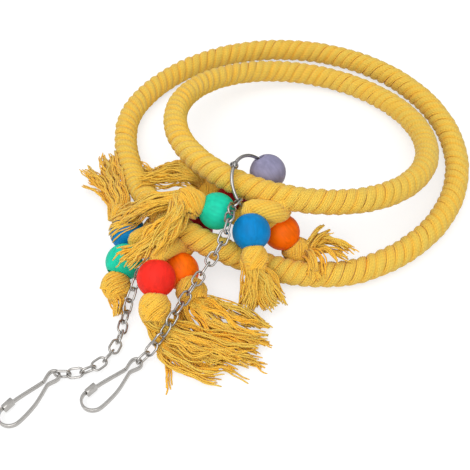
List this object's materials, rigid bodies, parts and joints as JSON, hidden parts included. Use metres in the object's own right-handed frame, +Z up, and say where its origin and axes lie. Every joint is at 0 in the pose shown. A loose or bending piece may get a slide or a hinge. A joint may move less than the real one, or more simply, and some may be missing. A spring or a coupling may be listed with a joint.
{
  "type": "bird rope ring",
  "caption": "Large and small rings of wound cotton rope for a bird to perch on, with beaded tassels, hinged wire rings, link chains and snap hooks to hang them by.",
  "frame": {"origin": "middle of the object's box, on the floor that the large ring lies on", "axes": "+Z up from the floor, +Y from the hooks towards the far side of the rings, +X to the right of that"},
  "size_m": [0.2348, 0.3644, 0.0565],
  "materials": {
    "cotton": "matt wound cotton yarn, golden yellow",
    "core": "matt undyed core cord",
    "nickel": "bright nickel plating on steel",
    "wood_blue": "stained and waxed",
    "wood_green": "stained and waxed",
    "wood_red": "stained and waxed",
    "wood_orange": "stained and waxed",
    "wood_maroon": "stained and waxed",
    "wood_purple": "stained and waxed"
  },
  "bodies": {
    "large_ring": {"large_wrap": "cotton", "large_core": "core", "large_left_tails": "cotton", "large_right_tails": "cotton"},
    "large_binder_arm": {"large_binder_arm": "nickel", "large_binder_pin": "nickel"},
    "large_binder_gate": {"large_binder_gate": "nickel"},
    "large_bead_on_ring": {"large_bead_on_ring": "wood_maroon"},
    "large_hook": {"large_hook": "nickel"},
    "large_hook_gate": {"large_hook_gate": "nickel"},
    "large_link_01": {"large_link_01": "nickel"},
    "large_link_02": {"large_link_02": "nickel"},
    "large_link_03": {"large_link_03": "nickel"},
    "large_link_04": {"large_link_04": "nickel"},
    "large_link_05": {"large_link_05": "nickel"},
    "large_link_06": {"large_link_06": "nickel"},
    "large_link_07": {"large_link_07": "nickel"},
    "large_link_08": {"large_link_08": "nickel"},
    "large_link_09": {"large_link_09": "nickel"},
    "large_link_10": {"large_link_10": "nickel"},
    "large_link_11": {"large_link_11": "nickel"},
    "large_link_12": {"large_link_12": "nickel"},
    "large_link_13": {"large_link_13": "nickel"},
    "large_link_14": {"large_link_14": "nickel"},
    "large_link_15": {"large_link_15": "nickel"},
    "large_bead_blue": {"large_bead_blue": "wood_blue"},
    "large_bead_green": {"large_bead_green": "wood_green"},
    "large_bead_red": {"large_bead_red": "wood_red"},
    "large_bead_orange": {"large_bead_orange": "wood_orange"},
    "small_ring": {"small_wrap": "cotton", "small_core": "core", "small_left_tails": "cotton", "small_right_tails": "cotton"},
    "small_binder_arm": {"small_binder_arm": "nickel", "small_binder_pin": "nickel"},
    "small_binder_gate": {"small_binder_gate": "nickel"},
    "small_bead_on_ring": {"small_bead_on_ring": "wood_purple"},
    "small_hook": {"small_hook": "nickel"},
    "small_hook_gate": {"small_hook_gate": "nickel"},
    "small_link_01": {"small_link_01": "nickel"},
    "small_link_02": {"small_link_02": "nickel"},
    "small_link_03": {"small_link_03": "nickel"},
    "small_link_04": {"small_link_04": "nickel"},
    "small_link_05": {"small_link_05": "nickel"},
    "small_link_06": {"small_link_06": "nickel"},
    "small_link_07": {"small_link_07": "nickel"},
    "small_link_08": {"small_link_08": "nickel"},
    "small_link_09": {"small_link_09": "nickel"},
    "small_link_10": {"small_link_10": "nickel"},
    "small_link_11": {"small_link_11": "nickel"},
    "small_link_12": {"small_link_12": "nickel"},
    "small_link_13": {"small_link_13": "nickel"},
    "small_link_14": {"small_link_14": "nickel"},
    "small_link_15": {"small_link_15": "nickel"},
    "small_link_16": {"small_link_16": "nickel"},
    "small_link_17": {"small_link_17": "nickel"},
    "small_bead_green": {"small_bead_green": "wood_green"},
    "small_bead_maroon": {"small_bead_maroon": "wood_maroon"},
    "small_bead_blue": {"small_bead_blue": "wood_blue"},
    "small_bead_orange": {"small_bead_orange": "wood_orange"}
  },
  "joints": [
    {"name": "large_binder_swing", "type": "hinge", "parent": "large_ring", "child": "large_binder_arm", "pos_m": [0.00691, -0.04317, 0.02604], "axis": [-0.9985, 0.0291, 0.0455], "range_deg": [0, 4]},
    {"name": "large_binder_opening", "type": "hinge", "parent": "large_binder_arm", "child": "large_binder_gate", "pos_m": [0.00742, -0.02943, 0.02832], "axis": [0.9985, -0.0291, -0.0455], "range_deg": [0, 18]},
    {"name": "large_bead_on_ring_spin", "type": "hinge", "parent": "large_binder_gate", "child": "large_bead_on_ring", "pos_m": [0.00666, -0.02951, 0.01169], "axis": [0.0536, 0.437, 0.8979], "continuous": true},
    {"name": "large_link_01_turn", "type": "hinge", "parent": "large_binder_arm", "child": "large_link_01", "pos_m": [0.0061, -0.059, 0.01834], "axis": [0.0454, -0.004, 0.999], "range_deg": [0, 4]},
    {"name": "large_link_02_turn", "type": "hinge", "parent": "large_link_01", "child": "large_link_02", "pos_m": [0.00592, -0.0656, 0.01832], "axis": [-0.9986, 0.0272, 0.0455], "range_deg": [0, 10]},
    {"name": "large_link_03_turn", "type": "hinge", "parent": "large_link_02", "child": "large_link_03", "pos_m": [0.00668, -0.07199, 0.01684], "axis": [-0.0602, -0.2318, 0.9709], "range_deg": [0, 5]},
    {"name": "large_link_04_turn", "type": "hinge", "parent": "large_link_03", "child": "large_link_04", "pos_m": [0.00811, -0.07775, 0.01396], "axis": [-0.9706, -0.145, -0.192], "range_deg": [0, 10]},
    {"name": "large_link_05_turn", "type": "hinge", "parent": "large_link_04", "child": "large_link_05", "pos_m": [0.0096, -0.08297, 0.01021], "axis": [-0.1677, -0.6066, 0.7771], "range_deg": [0, 10]},
    {"name": "large_link_06_turn", "type": "hinge", "parent": "large_link_05", "child": "large_link_06", "pos_m": [0.01116, -0.08805, 0.0063], "axis": [-0.9376, -0.0223, -0.3471], "range_deg": [0, 12]},
    {"name": "large_link_07_turn", "type": "hinge", "parent": "large_link_06", "child": "large_link_07", "pos_m": [0.01381, -0.09349, 0.00364], "axis": [-0.3678, -0.5467, 0.7523], "range_deg": [0, 10]},
    {"name": "large_link_08_turn", "type": "hinge", "parent": "large_link_07", "child": "large_link_08", "pos_m": [0.01752, -0.09893, 0.00331], "axis": [-0.6108, -0.3742, -0.6978], "range_deg": [0, 12]},
    {"name": "large_link_09_turn", "type": "hinge", "parent": "large_link_08", "child": "large_link_09", "pos_m": [0.02124, -0.10439, 0.0033], "axis": [-0.6326, -0.432, 0.6428], "range_deg": [0, 12]},
    {"name": "large_link_10_turn", "type": "hinge", "parent": "large_link_09", "child": "large_link_10", "pos_m": [0.02451, -0.11012, 0.0033], "axis": [-0.4899, -0.2799, -0.8256], "range_deg": [0, 12]},
    {"name": "large_link_11_turn", "type": "hinge", "parent": "large_link_10", "child": "large_link_11", "pos_m": [0.02672, -0.11634, 0.0033], "axis": [-0.8279, -0.2947, 0.4772], "range_deg": [0, 12]},
    {"name": "large_link_12_turn", "type": "hinge", "parent": "large_link_11", "child": "large_link_12", "pos_m": [0.02753, -0.12289, 0.0033], "axis": [-0.3886, -0.048, -0.9201], "range_deg": [0, 12]},
    {"name": "large_link_13_turn", "type": "hinge", "parent": "large_link_12", "child": "large_link_13", "pos_m": [0.02662, -0.12942, 0.0033], "axis": [-0.947, 0.1323, 0.2926], "range_deg": [0, 12]},
    {"name": "large_link_14_turn", "type": "hinge", "parent": "large_link_13", "child": "large_link_14", "pos_m": [0.02399, -0.13547, 0.0033], "axis": [-0.1859, 0.0809, -0.9792], "range_deg": [0, 12]},
    {"name": "large_link_15_turn", "type": "hinge", "parent": "large_link_14", "child": "large_link_15", "pos_m": [0.01972, -0.14051, 0.0033], "axis": [-0.7599, 0.6427, 0.0972], "range_deg": [0, 12]},
    {"name": "large_hook_turn", "type": "hinge", "parent": "large_link_15", "child": "large_hook", "pos_m": [0.01476, -0.14487, 0.0033], "axis": [0, 0, 1], "range_deg": [0, 25]},
    {"name": "large_hook_gate_flex", "type": "hinge", "parent": "large_hook", "child": "large_hook_gate", "pos_m": [0.01414, -0.1527, 0.0033], "axis": [0, 0, 1], "range_deg": [0, 14], "stiffness_Nm_per_rad": 0.005},
    {"name": "large_bead_blue_spin", "type": "hinge", "parent": "large_ring", "child": "large_bead_blue", "pos_m": [-0.0225, -0.05548, 0.0105], "axis": [-0.9392, 0.3397, -0.05], "continuous": true},
    {"name": "large_bead_green_spin", "type": "hinge", "parent": "large_ring", "child": "large_bead_green", "pos_m": [-0.0082, -0.07258, 0.0105], "axis": [0.0999, -0.9488, -0.2996], "continuous": true},
    {"name": "large_bead_red_spin", "type": "hinge", "parent": "large_ring", "child": "large_bead_red", "pos_m": [0.0235, -0.07768, 0.0255], "axis": [0.5514, -0.7018, -0.4511], "continuous": true},
    {"name": "large_bead_orange_spin", "type": "hinge", "parent": "large_ring", "child": "large_bead_orange", "pos_m": [0.0223, -0.05858, 0.0135], "axis": [0.9106, -0.4103, -0.05], "continuous": true},
    {"name": "small_binder_swing", "type": "hinge", "parent": "small_ring", "child": "small_binder_arm", "pos_m": [0.02797, -0.00465, 0.04147], "axis": [-0.9654, -0.2594, 0.0267], "range_deg": [0, 4]},
    {"name": "small_binder_opening", "type": "hinge", "parent": "small_binder_arm", "child": "small_binder_gate", "pos_m": [0.01751, -0.0068, 0.05396], "axis": [0.7347, 0.1974, 0.649], "range_deg": [0, 45]},
    {"name": "small_bead_on_ring_spin", "type": "hinge", "parent": "small_binder_gate", "child": "small_bead_on_ring", "pos_m": [0.02536, 0.01374, 0.03882], "axis": [-0.6671, 0.0361, 0.7441], "continuous": true},
    {"name": "small_link_01_turn", "type": "hinge", "parent": "small_binder_arm", "child": "small_link_01", "pos_m": [0.02993, -0.01666, 0.0429], "axis": [-0.6567, -0.0332, 0.7534], "range_deg": [0, 5]},
    {"name": "small_link_02_turn", "type": "hinge", "parent": "small_link_01", "child": "small_link_02", "pos_m": [0.03106, -0.02313, 0.04361], "axis": [-0.7342, -0.2001, -0.6487], "range_deg": [0, 5]},
    {"name": "small_link_03_turn", "type": "hinge", "parent": "small_link_02", "child": "small_link_03", "pos_m": [0.0336, -0.02907, 0.04492], "axis": [-0.5676, -0.061, 0.821], "range_deg": [0, 5]},
    {"name": "small_link_04_turn", "type": "hinge", "parent": "small_link_03", "child": "small_link_04", "pos_m": [0.0375, -0.03439, 0.04524], "axis": [-0.7207, -0.5538, -0.4171], "range_deg": [0, 8]},
    {"name": "small_link_05_turn", "type": "hinge", "parent": "small_link_04", "child": "small_link_05", "pos_m": [0.04002, -0.03983, 0.04248], "axis": [-0.0256, -0.4631, 0.8859], "range_deg": [0, 8]},
    {"name": "small_link_06_turn", "type": "hinge", "parent": "small_link_05", "child": "small_link_06", "pos_m": [0.04071, -0.0446, 0.03797], "axis": [-0.9874, -0.1576, 0.0145], "range_deg": [0, 10]},
    {"name": "small_link_07_turn", "type": "hinge", "parent": "small_link_06", "child": "small_link_07", "pos_m": [0.0404, -0.04906, 0.03311], "axis": [0.2275, -0.7254, 0.6496], "range_deg": [0, 4]},
    {"name": "small_link_08_turn", "type": "hinge", "parent": "small_link_07", "child": "small_link_08", "pos_m": [0.03957, -0.05383, 0.02863], "axis": [-0.9334, -0.1459, 0.3277], "range_deg": [0, 10]},
    {"name": "small_link_09_turn", "type": "hinge", "parent": "small_link_08", "child": "small_link_09", "pos_m": [0.03964, -0.05964, 0.02551], "axis": [0.4702, -0.4127, 0.7801], "range_deg": [0, 4]},
    {"name": "small_link_10_turn", "type": "hinge", "parent": "small_link_09", "child": "small_link_10", "pos_m": [0.04051, -0.066, 0.02395], "axis": [-0.8405, -0.2348, 0.4882], "range_deg": [0, 12]},
    {"name": "small_link_11_turn", "type": "hinge", "parent": "small_link_10", "child": "small_link_11", "pos_m": [0.04143, -0.07227, 0.0221], "axis": [-0.6163, 0.1375, -0.7754], "range_deg": [0, 6]},
    {"name": "small_link_12_turn", "type": "hinge", "parent": "small_link_11", "child": "small_link_12", "pos_m": [0.04261, -0.07869, 0.02112], "axis": [-0.7181, -0.2318, 0.6562], "range_deg": [0, 12]},
    {"name": "small_link_13_turn", "type": "hinge", "parent": "small_link_12", "child": "small_link_13", "pos_m": [0.04398, -0.08505, 0.02003], "axis": [-0.743, -0.0457, -0.6677], "range_deg": [0, 12]},
    {"name": "small_link_14_turn", "type": "hinge", "parent": "small_link_13", "child": "small_link_14", "pos_m": [0.04516, -0.09118, 0.01789], "axis": [-0.5351, -0.3672, 0.7608], "range_deg": [0, 12]},
    {"name": "small_link_15_turn", "type": "hinge", "parent": "small_link_14", "child": "small_link_15", "pos_m": [0.04468, -0.09613, 0.01355], "axis": [-0.9212, 0.3029, -0.2441], "range_deg": [0, 12]},
    {"name": "small_link_16_turn", "type": "hinge", "parent": "small_link_15", "child": "small_link_16", "pos_m": [0.0437, -0.10073, 0.00892], "axis": [0.2892, 0.6493, -0.7034], "range_deg": [0, 10]},
    {"name": "small_link_17_turn", "type": "hinge", "parent": "small_link_16", "child": "small_link_17", "pos_m": [0.04258, -0.10586, 0.00493], "axis": [0.9713, -0.2359, 0.0297], "range_deg": [0, 12]},
    {"name": "small_hook_turn", "type": "hinge", "parent": "small_link_17", "child": "small_hook", "pos_m": [0.04182, -0.11223, 0.00334], "axis": [-0.0282, -0.2382, 0.9708], "range_deg": [0, 25]},
    {"name": "small_hook_gate_flex", "type": "hinge", "parent": "small_hook", "child": "small_hook_gate", "pos_m": [0.04065, -0.11999, 0.00334], "axis": [0, 0, 1], "range_deg": [0, 14], "stiffness_Nm_per_rad": 0.005},
    {"name": "small_bead_green_spin", "type": "hinge", "parent": "small_ring", "child": "small_bead_green", "pos_m": [0.02067, -0.02531, 0.03414], "axis": [-0.742, -0.5515, 0.381], "continuous": true},
    {"name": "small_bead_maroon_spin", "type": "hinge", "parent": "small_ring", "child": "small_bead_maroon", "pos_m": [0.0134, -0.00478, 0.02], "axis": [-0.9872, 0.0504, -0.1511], "continuous": true},
    {"name": "small_bead_blue_spin", "type": "hinge", "parent": "small_ring", "child": "small_bead_blue", "pos_m": [0.0454, -0.02498, 0.034], "axis": [0.6549, -0.6046, -0.4534], "continuous": true},
    {"name": "small_bead_orange_spin", "type": "hinge", "parent": "small_ring", "child": "small_bead_orange", "pos_m": [0.0493, -0.00228, 0.018], "axis": [0.7548, 0.1078, -0.647], "continuous": true},
    {"name": "small_ring_lift", "type": "slide", "parent": "large_ring", "child": "small_ring", "axis": [0, 0, 1], "range_m": [0, 0.06]}
  ]
}
